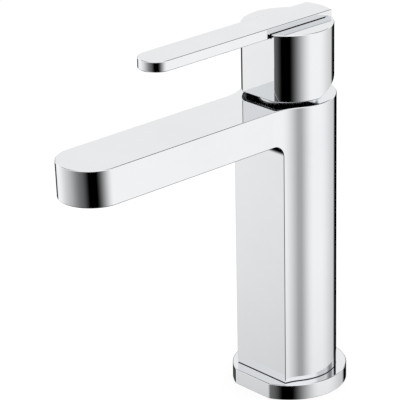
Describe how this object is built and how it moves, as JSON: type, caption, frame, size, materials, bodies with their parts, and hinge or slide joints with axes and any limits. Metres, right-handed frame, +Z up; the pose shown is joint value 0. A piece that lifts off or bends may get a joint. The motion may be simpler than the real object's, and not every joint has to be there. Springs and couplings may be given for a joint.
{
  "type": "basin mixer tap",
  "caption": "Single-lever bathroom basin mixer: flat-fronted column, straight round-ended spout, flat lever on a drum-shaped hub, ceramic cartridge inside, on a deck rose.",
  "frame": {"origin": "centre of the deck passage at the underside of the base plate, on the axis of the column and the cartridge", "axes": "+Z up from the deck; -Y along the spout and the lever, towards the user; -X is the hot side and +X the cold side for a user who stands at -Y"},
  "size_m": [0.0516, 0.1531, 0.1718],
  "materials": {
    "chrome_plate": "polished",
    "raw_brass": "machined",
    "stainless_steel": "satin",
    "blackened_steel": "blackened, satin",
    "acetal_white": "moulded",
    "acetal_grey": "moulded",
    "limiter_red": "moulded",
    "epdm_rubber": "matte",
    "alumina_ceramic": "lapped"
  },
  "bodies": {
    "root": {"body_casting": "chrome_plate", "base_plate": "chrome_plate", "base_seal_ring": "epdm_rubber", "cartridge_base_cap": "acetal_grey", "cartridge_inlet_seals": "epdm_rubber", "disc_port_seals": "epdm_rubber", "cartridge_housing": "acetal_white", "cartridge_o_ring": "epdm_rubber", "ceramic_disc_fixed": "alumina_ceramic", "cartridge_nut": "raw_brass", "cartridge_cover": "chrome_plate", "temperature_limit_ring": "limiter_red", "aerator_housing": "chrome_plate", "aerator_screen": "stainless_steel", "aerator_insert": "acetal_white", "aerator_gasket": "epdm_rubber"},
    "swivel": {"stem_turret": "acetal_grey", "pivot_pin": "stainless_steel"},
    "lift": {"cartridge_stem": "raw_brass", "handle_hub": "chrome_plate", "lever_blade": "chrome_plate", "lever_screws": "stainless_steel", "handle_grub_screw": "blackened_steel", "screw_plug": "chrome_plate"},
    "disc": {"disc_carrier": "acetal_white", "ceramic_disc_moving": "alumina_ceramic"}
  },
  "joints": [
    {"name": "temperature_swivel", "type": "hinge", "parent": "root", "child": "swivel", "pos_m": [0, 0, 0.1395], "axis": [0, 0, 1], "range_deg": [-50, 50]},
    {"name": "flow_lift", "type": "hinge", "parent": "swivel", "child": "lift", "pos_m": [0, 0, 0.1395], "axis": [-1, 0, 0], "range_deg": [0, 22]},
    {"name": "disc_slide", "type": "slide", "parent": "swivel", "child": "disc", "axis": [0, -1, 0], "range_m": [0, 0.0055]}
  ],
  "couplings": [
    {"joint": "disc_slide", "follows": "flow_lift", "m_per_rad": 0.01415}
  ]
}
